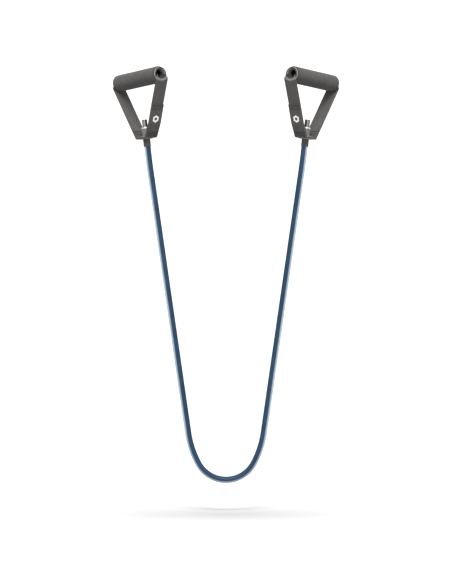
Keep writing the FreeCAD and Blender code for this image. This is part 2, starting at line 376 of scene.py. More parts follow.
class Nodes:
    """A small helper for building one procedural material."""

    def __init__(self, name, roughness=0.6, metallic=0.0, specular=0.5):
        self.material = bpy.data.materials.new(name)
        self.material.use_nodes = True
        self.tree = self.material.node_tree
        self.tree.nodes.clear()
        self.output = self.tree.nodes.new("ShaderNodeOutputMaterial")
        self.shader = self.tree.nodes.new("ShaderNodeBsdfPrincipled")
        self.shader.inputs["Roughness"].default_value = roughness
        self.shader.inputs["Metallic"].default_value = metallic
        self.shader.inputs["Specular IOR Level"].default_value = specular
        self.link(self.shader.outputs[0], self.output.inputs[0])
        self.coordinates = self.tree.nodes.new("ShaderNodeTexCoord")

    def link(self, source, target):
        self.tree.links.new(source, target)

    def value_into(self, socket, value):
        """Sets an input to a number or colour, or links another node's output to it."""
        if isinstance(value, (int, float, tuple)):
            socket.default_value = value
        else:
            self.link(value, socket)

    def stretched(self, scale, space="Object", shift=(0, 0, 0)):
        """Coordinates scaled by three numbers, then moved."""
        mapping = self.tree.nodes.new("ShaderNodeMapping")
        mapping.inputs["Scale"].default_value = scale
        mapping.inputs["Location"].default_value = shift
        self.link(self.coordinates.outputs[space], mapping.inputs["Vector"])
        return mapping.outputs[0]

    def coordinate(self, space, axis):
        """One component of the coordinates."""
        split = self.tree.nodes.new("ShaderNodeSeparateXYZ")
        self.link(self.coordinates.outputs[space], split.inputs[0])
        return split.outputs[axis]

    def noise(self, scale, detail=3.0, where=None):
        """Cloudy noise, from 0 to 1."""
        node = self.tree.nodes.new("ShaderNodeTexNoise")
        node.inputs["Scale"].default_value = scale
        node.inputs["Detail"].default_value = detail
        self.link(where or self.coordinates.outputs["Object"], node.inputs["Vector"])
        return node.outputs[0]

    def cells(self, scale):
        """Distance to the middle of the nearest of many small cells."""
        node = self.tree.nodes.new("ShaderNodeTexVoronoi")
        node.inputs["Scale"].default_value = scale
        self.link(self.coordinates.outputs["Object"], node.inputs["Vector"])
        return node.outputs["Distance"]

    def wave(self, scale, space, direction, distortion=0.0):
        """Parallel bands."""
        node = self.tree.nodes.new("ShaderNodeTexWave")
        node.wave_type = "BANDS"
        node.bands_direction = direction
        node.inputs["Scale"].default_value = scale
        node.inputs["Distortion"].default_value = distortion
        self.link(self.coordinates.outputs[space], node.inputs["Vector"])
        return node.outputs["Fac"]

    def math(self, operation, first, second=0.0):
        node = self.tree.nodes.new("ShaderNodeMath")
        node.operation = operation
        self.value_into(node.inputs[0], first)
        self.value_into(node.inputs[1], second)
        return node.outputs[0]

    def ramp(self, factor, low, high, start=0.3, end=0.7):
        """A colour that turns from low to high as the factor goes from start to end."""
        node = self.tree.nodes.new("ShaderNodeValToRGB")
        node.color_ramp.elements[0].position = start
        node.color_ramp.elements[1].position = end
        node.color_ramp.elements[0].color = low
        node.color_ramp.elements[1].color = high
        self.link(factor, node.inputs[0])
        return node.outputs[0]

    def mask(self, factor, start, end):
        """Black up to the factor's start, white from its end."""
        return self.ramp(factor, BLACK, WHITE, start, end)

    def covered(self, base, over, mask, share):
        """The base colour with this share of another colour laid over it where the mask is white."""
        return self.mix(self.math("MULTIPLY", mask, share), base, over)

    def mix(self, factor, first, second):
        """A blend of two colours, which are the Mix node's sockets 6, 7 and 2."""
        node = self.tree.nodes.new("ShaderNodeMix")
        node.data_type = "RGBA"
        self.value_into(node.inputs[0], factor)
        self.value_into(node.inputs[6], first)
        self.value_into(node.inputs[7], second)
        return node.outputs[2]

    def outer_side(self):
        """How squarely the surface faces away from the inside of the U, from -1 to 1."""
        geometry = self.tree.nodes.new("ShaderNodeNewGeometry")
        place = self.tree.nodes.new("ShaderNodeSeparateXYZ")
        away = self.tree.nodes.new("ShaderNodeCombineXYZ")
        facing = self.tree.nodes.new("ShaderNodeVectorMath")
        unit_away = self.tree.nodes.new("ShaderNodeVectorMath")
        facing.operation, unit_away.operation = "DOT_PRODUCT", "NORMALIZE"
        self.link(self.coordinates.outputs["Object"], place.inputs[0])
        self.link(place.outputs["X"], away.inputs["X"])
        past_bend_centre = self.math("SUBTRACT", place.outputs["Z"], BOTTOM_BEND_R)
        self.link(self.math("MINIMUM", past_bend_centre, 0.0), away.inputs["Z"])
        self.link(away.outputs[0], unit_away.inputs[0])
        self.link(unit_away.outputs[0], facing.inputs[0])
        self.link(geometry.outputs["Normal"], facing.inputs[1])
        return facing.outputs["Value"]

    def bump(self, height, strength, distance):
        """Fine relief of this depth, in metres."""
        node = self.tree.nodes.new("ShaderNodeBump")
        node.inputs["Strength"].default_value = strength
        node.inputs["Distance"].default_value = distance
        self.link(height, node.inputs["Height"])
        self.link(node.outputs[0], self.shader.inputs["Normal"])

    def sheen(self, weight, roughness):
        self.shader.inputs["Sheen Weight"].default_value = weight
        self.shader.inputs["Sheen Roughness"].default_value = roughness

    def finish(self, colour, roughness=None):
        self.value_into(self.shader.inputs["Base Color"], colour)
        if roughness is not None:
            self.value_into(self.shader.inputs["Roughness"], roughness)
        return self.material


def display(red, green, blue):
    """A linear colour from its 0-255 display values."""
    linear = []
    for value in (red, green, blue):
        share = value / 255
        linear.append(((share + 0.055) / 1.055) ** 2.4 if share > 0.04 else share / 12.92)
    return (*linear, 1.0)


def latex_material():
    """Blue latex tube: satin and faintly cloudy, with a painted highlight along the U's outer side."""
    n = Nodes("tube_latex", specular=0.22)
    cloud = n.noise(35, 4)
    body = n.ramp(cloud, display(22, 48, 73), display(33, 62, 89))
    specks = n.mask(n.noise(900, 2), 0.45, 0.8)
    body = n.covered(body, display(96, 110, 132), specks, 0.1)
    # Painted highlight: a paler colour on the surfaces that face away from the inside of the U, with a noisy
    # edge.
    streak = n.math("MULTIPLY", n.noise(14, 2), 0.16)
    painted_edge_light = n.mask(n.math("ADD", n.outer_side(), streak), 0.35, 0.85)
    colour = n.covered(body, display(196, 209, 220), painted_edge_light, 0.9)
    rough = n.math("ADD", n.math("MULTIPLY", cloud, 0.18), 0.4)
    n.bump(n.noise(260, 4), 0.08, 0.6 * MM)
    return n.finish(colour, rough)


def sleeve_material():
    """Dark grey rubber with a fine moulded grain and lighter rubbed spots."""
    n = Nodes("sleeve_rubber", roughness=0.62, specular=0.35)
    wear = n.ramp(n.noise(120, 5), display(56, 54, 54), display(88, 85, 84), 0.35, 0.75)
    n.bump(n.noise(1500, 2), 0.25, 0.3 * MM)
    return n.finish(wear)


def metal_material(name, dark, light, roughness, line_scale):
    """Turned metal: fine lines that run round or along the piece, and uneven polish."""
    n = Nodes(name, metallic=1.0)
    lines = n.noise(1.0, 3, n.stretched(line_scale))
    smear = n.noise(160, 3)
    colour = n.ramp(n.math("MULTIPLY", n.math("ADD", lines, smear), 0.5), dark, light, 0.3, 0.72)
    rough = n.math("ADD", n.math("MULTIPLY", smear, 0.25), roughness - 0.1)
    n.bump(lines, 0.15, 0.2 * MM)
    return n.finish(colour, rough)


def plug_material():
    """Turned plug: dull metal, with painted shade, standing for a dark reflection, on the side that faces the
    middle of the band.
    """
    n = Nodes("plug_metal", roughness=0.36, metallic=1.0)
    lines = n.noise(1.0, 3, n.stretched((900, 900, 40)))
    smear = n.noise(160, 3)
    polish = n.math("MULTIPLY", n.math("ADD", lines, smear), 0.5)
    metal = n.ramp(polish, display(112, 110, 108), display(172, 170, 168), 0.3, 0.72)
    # Painted shade: the side that faces the middle of the band is darkened, as a dark reflection would darken
    # it.
    inner_side = n.math("SUBTRACT", n.math("MULTIPLY", smear, 0.3), n.outer_side())
    painted_inboard_shade = n.mask(inner_side, 0.1, 0.5)
    n.bump(lines, 0.15, 0.2 * MM)
    return n.finish(n.covered(metal, display(52, 51, 50), painted_inboard_shade, 0.9))


def plastic_material(name, dark, light, roughness):
    """Moulded plastic with a faint grain and a cloudy colour."""
    n = Nodes(name, specular=0.45)
    colour = n.ramp(n.noise(90, 5), dark, light, 0.3, 0.75)
    rough = n.math("ADD", n.math("MULTIPLY", n.noise(400, 2), 0.2), roughness - 0.1)
    n.bump(n.noise(1800, 2), 0.2, 0.2 * MM)
    return n.finish(colour, rough)


def ring_material():
    """Moulded grey plastic, with a painted highlight along the edge that faces outboard."""
    n = Nodes("ring_plastic", roughness=0.45, specular=0.4)
    body = n.ramp(n.noise(90, 5), display(54, 53, 52), display(80, 78, 76), 0.3, 0.75)
    # Painted highlight: a paler colour on the outboard-facing edge, where the light falls.
    painted_highlight = n.mask(n.math("ADD", n.outer_side(), 0.6), 0.05, 0.5)
    n.bump(n.noise(1800, 2), 0.2, 0.2 * MM)
    return n.finish(n.mix(painted_highlight, body, display(138, 136, 134)))


def foam_material():
    """Closed-cell foam: fine pits over a soft mottled grey."""
    n = Nodes("grip_foam", roughness=0.9, specular=0.25)
    pits = n.cells(1100)
    mottle = n.noise(70, 5)
    grain = n.noise(2400, 2)
    base = n.ramp(mottle, display(54, 53, 52), display(71, 69, 68))
    flecks = n.mask(grain, 0.4, 0.65)
    colour = n.covered(base, display(98, 96, 94), flecks, 0.3)
    height = n.math("ADD", n.math("MULTIPLY", pits, 0.7), n.math("MULTIPLY", grain, 0.5))
    n.bump(height, 0.55, 0.5 * MM)
    n.sheen(0.15, 0.6)
    return n.finish(colour)


def webbing_colour(n, weave):
    """Heather grey: light and dark yarns over soft clouds, with painted shade in the gaps of the weave."""
    yarn = n.noise(1.0, 3, n.stretched((260, 2200, 1), "UV"))
    heather = n.ramp(yarn, display(70, 68, 67), display(106, 103, 101))
    cloud = n.ramp(n.noise(60, 4), display(73, 71, 70), display(94, 91, 90))
    # Painted shade: the gaps of the weave are darkened.
    gaps = n.math("SUBTRACT", 1.0, weave)
    return n.covered(n.mix(0.5, heather, cloud), display(44, 43, 42), gaps, 0.35)


def webbing_ends_and_painted_light(n, colour):
    """Dark cut ends, heat-sealed and also standing in as painted shade under the flap ends; painted shade
    where the grip covers the strap; and painted highlights on the crests.
    """
    distance = n.coordinate("UV", "X")
    to_end = n.math("PINGPONG", distance, STRAP.along[-1] / 2)
    # Dark cut ends: heat-sealed, and painted shade under the flap ends.
    sealed_and_shaded_end = n.ramp(n.math("DIVIDE", to_end, SEALED_AND_SHADED_END), WHITE, BLACK, 0.6, 1.0)
    colour = n.covered(colour, display(24, 23, 23), sealed_and_shaded_end, 0.75)
    first, last = STRAP.crests()
    past_crest = n.math("MINIMUM", n.math("SUBTRACT", distance, first), n.math("SUBTRACT", last, distance))
    # Painted shade: the strap is darkened past the crests, inside the grip's bore.
    painted_bore_shade = n.mask(n.math("DIVIDE", past_crest, BORE_SHADE_START), 0.5, 1.0)
    colour = n.covered(colour, display(28, 27, 27), painted_bore_shade, 0.88)
    # Painted highlight: a paler band along the crests, where the strap turns over into the grip.
    from_crest = n.math("DIVIDE", n.math("ABSOLUTE", past_crest), CREST_HIGHLIGHT_REACH)
    painted_highlight = n.ramp(from_crest, WHITE, BLACK, 0.3, 1.0)
    return n.covered(colour, display(150, 147, 145), painted_highlight, 0.45)


def webbing_material():
    """Woven webbing. Its UV coordinates are metres along the strap and metres across it."""
    n = Nodes("strap_webbing", roughness=0.85, specular=0.2)
    weave = n.math("MULTIPLY", n.wave(260, "UV", "X", 0.8), n.wave(190, "UV", "Y", 0.6))
    n.bump(weave, 0.6, 0.4 * MM)
    n.sheen(0.2, 0.5)
    return n.finish(webbing_ends_and_painted_light(n, webbing_colour(n, weave)))


def thread_material():
    """Grey bonded thread with a twist."""
    n = Nodes("strap_thread", roughness=0.7, specular=0.3)
    twist = n.wave(420, "Object", "DIAGONAL")
    n.bump(twist, 0.5, 0.3 * MM)
    return n.finish(n.ramp(twist, display(52, 50, 49), display(84, 81, 79)))


def print_material():
    """White transfer print, thin enough for the weave to show through as small pits."""
    n = Nodes("print_white", roughness=0.5, specular=0.4)
    pits = n.noise(900, 3)
    worn = n.ramp(pits, display(244, 244, 244), display(205, 204, 203), 0.55, 0.8)
    n.bump(pits, 0.3, 0.2 * MM)
    return n.finish(worn)


def make_materials():
    """Every material, by the name of its slot in the record."""
    return {
        "tube_latex": latex_material(),
        "sleeve_rubber": sleeve_material(),
        "grommet_metal": metal_material(
            "grommet_metal", display(176, 174, 170), display(226, 224, 221), 0.38, (600, 600, 60),
        ),
        "bushing_plastic": plastic_material(
            "bushing_plastic", display(90, 89, 86), display(122, 121, 117), 0.45,
        ),
        "clamp_metal": metal_material(
            "clamp_metal", display(198, 197, 198), display(228, 227, 228), 0.36, (80, 80, 2400),
        ),
        "plug_metal": plug_material(),
        "strap_webbing": webbing_material(),
        "strap_thread": thread_material(),
        "print_white": print_material(),
        "grip_foam": foam_material(),
        "core_plastic": plastic_material("core_plastic", display(26, 26, 26), display(44, 43, 43), 0.5),
        "ring_plastic": ring_material(),
    }


# Tube

def bend_centre(slope_deg):
    """A point of the bend's centreline on the left, where it climbs at this angle from level."""
    slope = math.radians(slope_deg)
    joint = math.radians(min(slope_deg, BOTTOM_BEND_DEG))
    along = BOTTOM_BEND_R * math.sin(joint)
    up = BOTTOM_BEND_R * (1 - math.cos(joint))
    if slope_deg > BOTTOM_BEND_DEG:
        along += SHOULDER_BEND_R * (math.sin(slope) - math.sin(joint))
        up += SHOULDER_BEND_R * (math.cos(joint) - math.cos(slope))
    return Vector((-along, 0, TUBE_R + up))


def bend_stations():
    """Centre points and directions of the left half of the bend, from its lowest point up."""
    top_deg = math.degrees(math.atan2(LEG_UP.z, -LEG_UP.x))
    stations = []
    for slope in np.linspace(0, top_deg, BEND_STATIONS):
        angle = math.radians(slope)
        stations.append((bend_centre(slope), Vector((-math.cos(angle), 0, math.sin(angle)))))
    return stations


def leg_stations(low, high):
    """Centre points and directions along the straight leg."""
    count = int(round((high - low) / STATION_STEP)) + 1
    return [(on_leg(d), LEG_UP) for d in np.linspace(low, high, count)]


def neck_station(distance):
    """A centre point and direction near the neck, measured from its pivot, on a soft curve past it."""
    if abs(distance) >= NECK_CURVE:
        along = LEG_UP if distance < 0 else NECK_UP
        return NECK_PIVOT + along * distance, along
    share = (distance / NECK_CURVE + 1) / 2
    below = LEG_UP * (-NECK_CURVE * (1 - share) ** 2)
    above = NECK_UP * (NECK_CURVE * share ** 2)
    return NECK_PIVOT + below + above, LEG_UP.lerp(NECK_UP, share).normalized()


def tube_mesh(stations, segments=40):
    """Points and faces of a hollow tube along the stations, closed by a ring at each end."""
    points = []
    depth = Vector((0, 1, 0))
    for centre, along in stations:
        side = depth.cross(along)
        for radius in (TUBE_R, BORE_R):
            for k in range(segments):
                angle = 2 * math.pi * k / segments
                points.append(centre + (side * math.cos(angle) + depth * math.sin(angle)) * radius)
    faces = []
    per = 2 * segments
    last = (len(stations) - 1) * per
    for k in range(segments):
        after = (k + 1) % segments
        for i in range(len(stations) - 1):
            low, high = i * per, (i + 1) * per
            faces.append((low + k, high + k, high + after, low + after))
            inner, inner_after = segments + k, segments + after
            faces.append((low + inner_after, high + inner_after, high + inner, low + inner))
        faces.append((k, after, segments + after, segments + k))
        faces.append((last + segments + k, last + segments + after, last + after, last + k))
    return points, faces


def tube_piece(side, name, stations, blend, *nodes):
    """One length of the tube, between two CAD bodies, baked in place."""
    points, faces = tube_mesh(stations)
    piece = add_piece(f"{side}_{name}", points, faces, MIRROR[side])
    body_a, body_b, start, end = blend
    finish_piece(piece, "tube_latex", (body_a, body_b, MIRROR[side] @ start, MIRROR[side] @ end), *nodes)


def build_tube(side):
    """The tube's half on one side: the bend and lower leg, the stretching leg, and the neck."""
    leg, leg_end, neck = f"{side}_leg", f"{side}_leg_end", f"{side}_neck"
    shoulder = bend_centre(BOTTOM_BEND_DEG)
    lower = bend_stations() + leg_stations(0, LOWER_PIECE_END)[1:]
    swing = ("tube_bend", leg, shoulder, on_leg(SWING_ZONE))
    bend_nodes = ["tube_bend"] if side == "left" else []
    tube_piece(side, "tube_bend_half", lower, swing, f"{side}_tube_lower", *bend_nodes)
    middle = leg_stations(LOWER_PIECE_END, UPPER_PIECE_END)
    stretch = (leg, leg_end, on_leg(LOWER_PIECE_END), on_leg(UPPER_PIECE_END))
    tube_piece(side, "tube_leg", middle, stretch, f"{side}_tube_upper")
    first, last = UPPER_PIECE_END - LEG_LENGTH, NECK_LENGTH + TUBE_TOP
    count = int(round((last - first) / STATION_STEP)) + 1
    top = [neck_station(distance) for distance in np.linspace(first, last, count)]
    flex = (leg_end, neck, NECK_PIVOT - LEG_UP * NECK_ZONE, NECK_PIVOT + NECK_UP * NECK_ZONE)
    tube_piece(side, "tube_end", top, flex, f"{side}_tube_neck")


# Anchor stack

def build_sleeve(side, place):
    """Rubber guard on the tube below the strap."""
    inner = TUBE_R + SNUG_GAP
    outline = [(inner, SLEEVE_LOW), (SLEEVE_R, SLEEVE_LOW), (SLEEVE_R, SLEEVE_TOP), (inner, SLEEVE_TOP)]
    rounds = [0, 0.5 * MM, 0.35 * MM, 0]
    turned(f"{side}_sleeve_rubber", outline, rounds, place,
           "sleeve_rubber", f"{side}_neck", f"{side}_guard_sleeve")


def build_grommet(side, place):
    """Eyelet with its flange below the strap and its lip rolled over a washer above."""
    bore = TUBE_R + RUNNING_GAP
    barrel = bore + EYELET_WALL
    flange_top = -SNUG_GAP
    eyelet = [
        (bore, FLANGE_LOW), (FLANGE_R, FLANGE_LOW), (FLANGE_R, flange_top), (barrel, flange_top),
        (barrel, WASHER_TOP), (ROLL_R, WASHER_TOP), (ROLL_R, ROLL_TOP), (bore, ROLL_TOP),
    ]
    rounds = [0.4 * MM, 0.4 * MM, 0.3 * MM, 0, 0, 0.2 * MM, 0.35 * MM, 0.3 * MM]
    turned(f"{side}_grommet", eyelet, rounds, place,
           "grommet_metal", f"{side}_handle", f"{side}_grommet_eyelet")
    inner = barrel + END_GAP
    washer = [
        (inner, PANEL_TOP), (WASHER_R, PANEL_TOP),
        (WASHER_R, WASHER_TOP - RUNNING_GAP), (inner, WASHER_TOP - SNUG_GAP),
    ]
    rounds = [0, 0.25 * MM, 0.4 * MM, 0]
    turned(f"{side}_washer", washer, rounds, place,
           "grommet_metal", f"{side}_handle", f"{side}_grommet_washer")


def build_tube_end(side, place):
    """Bushing that bears on the grommet, clamp ring on the tube's end, and the plug in its bore."""
    inner = TUBE_R + SNUG_GAP
    bushing = [
        (inner, BUSHING_LOW), (BUSHING_LOW_R, BUSHING_LOW),
        (BUSHING_TOP_R, BUSHING_TOP), (inner, BUSHING_TOP),
    ]
    rounds = [0, 0.6 * MM, 0.3 * MM, 0]
    turned(f"{side}_bushing", bushing, rounds, place,
           "bushing_plastic", f"{side}_neck", f"{side}_anchor_bushing")
    clamp_low = BUSHING_TOP + END_GAP
    clamp = [(inner, clamp_low), (CLAMP_R, clamp_low), (CLAMP_R, CLAMP_TOP), (inner, CLAMP_TOP)]
    rounds = [0, 0.9 * MM, 1.1 * MM, 0.4 * MM]
    turned(f"{side}_clamp", clamp, rounds, place,
           "clamp_metal", f"{side}_neck", f"{side}_clamp_ring")
    head_low = CLAMP_TOP + END_GAP
    plug = [
        (0, SHANK_LOW), (SHANK_R, SHANK_LOW), (SHANK_R, head_low),
        (PLUG_R, head_low), (PLUG_R, PLUG_TOP), (0, PLUG_TOP),
    ]
    rounds = [0, 0.4 * MM, 0, 0.3 * MM, 0.5 * MM, 0]
    turned(f"{side}_plug", plug, rounds, place,
           "plug_metal", f"{side}_neck", f"{side}_tube_plug")


def build_anchor(side):
    """Everything turned on the tube's axis at the handle, from the bottom up."""
    place = MIRROR[side] @ HANDLE
    build_sleeve(side, place)
    build_grommet(side, place)
    build_tube_end(side, place)


# Grip

def foam_points():
    """The foam sleeve: rounded ends and a faintly uneven skin, pushed back a little from the inboard ring."""
    near = FOAM_HALF - FOAM_GAP
    inner = CORE_R + SNUG_GAP
    outline = [(inner, -FOAM_HALF), (FOAM_R, -FOAM_HALF), (FOAM_R, near), (inner, near)]
    profile = rounded(outline, [0, FOAM_ROUND, FOAM_ROUND, 0], closed=True, steps=8)
    dense = []
    for start, end in zip(profile, np.roll(profile, -1, axis=0)):
        pieces = max(1, int(np.linalg.norm(end - start) / FOAM_STEP))
        dense += [start + (end - start) * i / pieces for i in range(pieces)]
    points, faces = lathe(dense, 128)
    lumpy = []
    for x, y, z in points:
        point = Vector((x, y, z))
        radius = math.hypot(x, y)
        if radius > CORE_R + FOAM_SEAT:
            push = sum(noise.noise(point * fineness) * depth for fineness, depth in FOAM_DENTS)
            share = (radius - CORE_R) / (FOAM_R - CORE_R)
            x, y = x * (1 + push * share / radius), y * (1 + push * share / radius)
        lumpy.append((x, y, z))
    return lumpy, faces


def build_grip(side):
    """Foam, core and the two end rings, which spin together on the webbing."""
    place = MIRROR[side] @ GRIP
    body = f"{side}_grip"
    points, faces = foam_points()
    foam = add_piece(f"{side}_grip_sleeve", points, faces, place)
    even_shading(foam)
    finish_piece(foam, "grip_foam", body, f"{side}_foam_grip")

    core = [(CORE_BORE_R, -FOAM_HALF), (CORE_R, -FOAM_HALF), (CORE_R, FOAM_HALF), (CORE_BORE_R, FOAM_HALF)]
    turned(f"{side}_core", core, [0.2 * MM] * 4, place,
           "core_plastic", body, f"{side}_grip_core")

    inner = GRIP_HALF - RING_THICK
    ring = [
        (RING_BORE_R, inner - RING_SPIGOT), (CORE_BORE_R - SNUG_GAP, inner - RING_SPIGOT),
        (CORE_BORE_R - SNUG_GAP, inner), (RING_R, inner), (RING_R, GRIP_HALF), (RING_BORE_R, GRIP_HALF),
    ]
    rounds = [0.2 * MM, 0.2 * MM, 0, 0.3 * MM, 0.9 * MM, 1.4 * MM]
    for end, turn in (("inboard", 0), ("outboard", math.pi)):
        turned(f"{side}_ring_{end}", ring, rounds, place @ Matrix.Rotation(turn, 4, "Y"),
               "ring_plastic", body, f"{side}_grip_ring_{end}")


# Strap

def strap_layers():
    """Middle lines of the strap's outer and inner layers: outboard top, two feet, bow and inboard top."""
    outer_face = [OUTBOARD_TOP, (-PANEL_HALF, 0.0), (PANEL_HALF, 0.0), BOW, INBOARD_TOP]
    return offset_line(outer_face, LAYER_STEP / 2), offset_line(outer_face, LAYER_STEP * 1.5)


def crest_height(across):
    """Height of the fold at the top of a leg: lowest at mid-width, and higher towards the edges."""
    rise = CREST_RISE * (math.hypot(across, CREST_V_ROUND) - CREST_V_ROUND) / (WEB_WIDTH / 2)
    return GRIP_HEIGHT - CREST_DROP + rise


def in_trough(across):
    """Y and height of a position across the webbing where it lies in the grip's bore."""
    angle = across / TROUGH_R
    return TROUGH_R * math.sin(angle), GRIP_HEIGHT - TROUGH_R * math.cos(angle)


def strap_corners(across):
    """Corners and their radii for one line of the webbing, from the inner flap's end to the outer flap's."""
    outer, inner = strap_layers()
    outboard_top, outboard_foot, foot, bow, inboard_top = outer
    inner_top, inner_outboard_foot, inner_foot, inner_bow, _ = inner
    height = crest_height(across)
    edge_share = (across / (WEB_WIDTH / 2)) ** 2
    reach = GRIP_HALF + TROUGH_FLARE * edge_share - TROUGH_SHORT
    y, z = in_trough(across)
    inboard_crest = inboard_top[0] + (height - inboard_top[1]) * CREST_LEAN
    outboard_crest = outboard_top[0] - CREST_INSET
    inner_flap = [
        at_height(inner_outboard_foot, inner_top, INNER_FLAP_HEIGHT), inner_outboard_foot, inner_foot,
        inner_bow, at_height(inner_bow, inner_bow + inboard_top - bow, OUTER_FLAP_HEIGHT + FLAP_LEAD),
    ]
    top = [
        (inboard_crest, across, height), (GRIP_SHIFT + reach, y, z),
        (GRIP_SHIFT - reach, y, z), (outboard_crest, across, height),
    ]
    outer_flap = [outboard_foot, foot, bow, at_height(bow, inboard_top, OUTER_FLAP_HEIGHT)]
    corners = [(x, across, up) for x, up in inner_flap] + top + [(x, across, up) for x, up in outer_flap]
    lip = LIP_R + LIP_R_GROWTH * edge_share
    wide_fold = FOLD_R + LAYER_STEP
    radii = [0, FOLD_R, FOLD_R, BOW_ROUND, BOW_ROUND, CREST_R, lip, lip, CREST_R,
             wide_fold, wide_fold, BOW_ROUND, 0]
    return corners, radii


def subdivided(path, counts):
    """The same line with each of its segments cut into a number of equal parts."""
    points = [path[0]]
    for start, end, count in zip(path, path[1:], counts):
        points += [start + (end - start) * k / count for k in range(1, count + 1)]
    return np.array(points)


def directions(grid, axis):
    """Unit directions along one axis of a grid of points, from the segments on both sides of each."""
    steps = np.diff(grid, axis=axis)
    steps /= np.linalg.norm(steps, axis=2, keepdims=True)
    first, last = np.take(steps, [0], axis), np.take(steps, [-1], axis)
    both = np.concatenate((first, steps), axis) + np.concatenate((steps, last), axis)
    return both / np.linalg.norm(both, axis=2, keepdims=True)


class Strap:
    """The webbing's middle surface as a grid of points, along it and across it, with outward normals."""

    def __init__(self):
        self.widths = selvedge_positions()
        middle = rounded(*strap_corners(0.0), steps=STRAP_ARC_STEPS)
        lengths = np.linalg.norm(np.diff(middle, axis=0), axis=1)
        counts = [max(1, int(round(length / STRAP_STEP))) for length in lengths]
        lines = [subdivided(rounded(*strap_corners(y), steps=STRAP_ARC_STEPS), counts) for y in self.widths]
        self.grid = np.stack(lines, axis=1)
        self.middle = subdivided(middle, counts)
        steps = np.linalg.norm(np.diff(self.middle, axis=0), axis=1)
        self.along = np.concatenate(([0], np.cumsum(steps)))
        normals = np.cross(directions(self.grid, 0), directions(self.grid, 1))
        self.normals = normals / np.linalg.norm(normals, axis=2, keepdims=True)

    def distance_to(self, corner, last_half=True):
        """Distance along the strap to its point nearest to a corner, in its last or its first half."""
        gaps = np.linalg.norm(self.middle[:, (0, 2)] - corner, axis=1)
        second = self.along > self.along[-1] / 2
        gaps = np.where(second == last_half, gaps, np.inf)
        return self.along[int(np.argmin(gaps))]

    def crests(self):
        """Distances along the strap to its two crests."""
        (outboard_x, _), *_, (inboard_x, _) = strap_layers()[0]
        height = crest_height(0.0)
        inboard = self.distance_to((inboard_x, height), last_half=False)
        return inboard, self.distance_to((outboard_x, height))

    def on_flat(self, distance, across, lift):
        """A point on the flat part of the strap, lifted from its middle surface to its outward side."""
        x, _, z = (np.interp(distance, self.along, self.middle[:, i]) for i in range(3))
        centre = len(self.widths) // 2
        nx, _, nz = (np.interp(distance, self.along, self.normals[:, centre, i]) for i in range(3))
        return (x + nx * lift, across, z + nz * lift)


def selvedge_positions():
    """Positions across the webbing, closer together at its rounded edges."""
    half = WEB_WIDTH / 2
    edge = [half * (1 - share) for share in EDGE_SHARES]
    middle = list(np.linspace(half * MIDDLE_SHARE, -half * MIDDLE_SHARE, MIDDLE_LINES))
    return np.array(edge + middle + [-e for e in reversed(edge)])


def half_thickness(across):
    """The webbing thins to a round edge over the last stretch of its width."""
    depth = WEB_WIDTH / 2 - abs(across)
    if depth >= SELVEDGE / 2:
        return WEB_THICK / 2
    share = 1 - depth / (SELVEDGE / 2)
    return WEB_THICK / 2 * math.sqrt(max(0.0, 1 - share * share))


STRAP = Strap()


def build_strap(side):
    """The webbing as one sheet with thickness, closed at its edges and its two cut ends."""
    widths = STRAP.widths
    count = len(widths)
    ring = [(k, half_thickness(widths[k])) for k in range(count)]
    ring += [(k, -half_thickness(widths[k])) for k in range(count - 2, 0, -1)]
    points, uvs = [], []
    for station, distance in enumerate(STRAP.along):
        for k, lift in ring:
            points.append(tuple(STRAP.grid[station, k] + STRAP.normals[station, k] * lift))
            uvs.append((distance, widths[k]))
    per = len(ring)
    stations = len(STRAP.along)
    faces = loop_faces(stations, per)
    for base, flip in ((0, True), ((stations - 1) * per, False)):
        for k in range(count - 1):
            under_k = (per - k) % per
            under_next = per - k - 1
            quad = (base + k, base + k + 1, base + under_next, base + under_k)
            faces.append(quad if flip else quad[::-1])
    piece = add_piece(f"{side}_webbing", points, faces, MIRROR[side] @ HANDLE, uvs)
    recalculate(piece)
    bore_through(piece, PANEL_HOLE_R, MIRROR[side] @ HANDLE)
    finish_piece(piece, "strap_webbing", f"{side}_handle", f"{side}_strap")


def bore_through(piece, radius, place):
    """Cuts a round hole through the strap's panel, on the tube's axis."""
    outline = [(0, DRILL_LOW), (radius, DRILL_LOW), (radius, DRILL_TOP), (0, DRILL_TOP)]
    points, faces = lathe(outline, 64)
    cutter = add_piece("cutter", points, faces, place)
    recalculate(cutter)
    modifier = piece.modifiers.new("hole", "BOOLEAN")
    modifier.operation = "DIFFERENCE"
    modifier.solver = "EXACT"
    modifier.object = cutter
    drilled = bpy.data.meshes.new_from_object(piece.evaluated_get(bpy.context.evaluated_depsgraph_get()))
    piece.modifiers.clear()
    piece.data = drilled
    bpy.data.objects.remove(cutter)


# A direction that no thread runs in, from which each thread's rings are turned
OFF_AXIS = Vector((1, 0.3, 0.2))


def cord(points, radius, sides=8):
    """Points and faces of a thin thread along a line of points."""
    ring_points = []
    line = [Vector(p) for p in points]
    for i, point in enumerate(line):
        ahead = line[min(i + 1, len(line) - 1)] - line[max(i - 1, 0)]
        side = ahead.cross(OFF_AXIS).normalized()
        other = ahead.cross(side).normalized()
        for k in range(sides):
            angle = 2 * math.pi * k / sides
            ring_points.append(point + (side * math.cos(angle) + other * math.sin(angle)) * radius)
    faces = loop_faces(len(line), sides)
    faces.append(tuple(reversed(range(sides))))
    faces.append(tuple(range((len(line) - 1) * sides, len(line) * sides)))
    return ring_points, faces


def stitch(distance, start, end, lean=0.0, face=1):
    """One thread loop on the outward face (1) or the inward face (-1), diving in at both ends."""
    line = []
    for t in np.linspace(0, 1, STITCH_POINTS):
        lift = WEB_THICK / 2 + math.sin(math.pi * t) * STITCH_CROWN - STITCH_SINK
        across = start + (end - start) * t
        line.append(STRAP.on_flat(distance + lean * (t - 0.5), across, lift * face))
    return cord(line, THREAD_R)


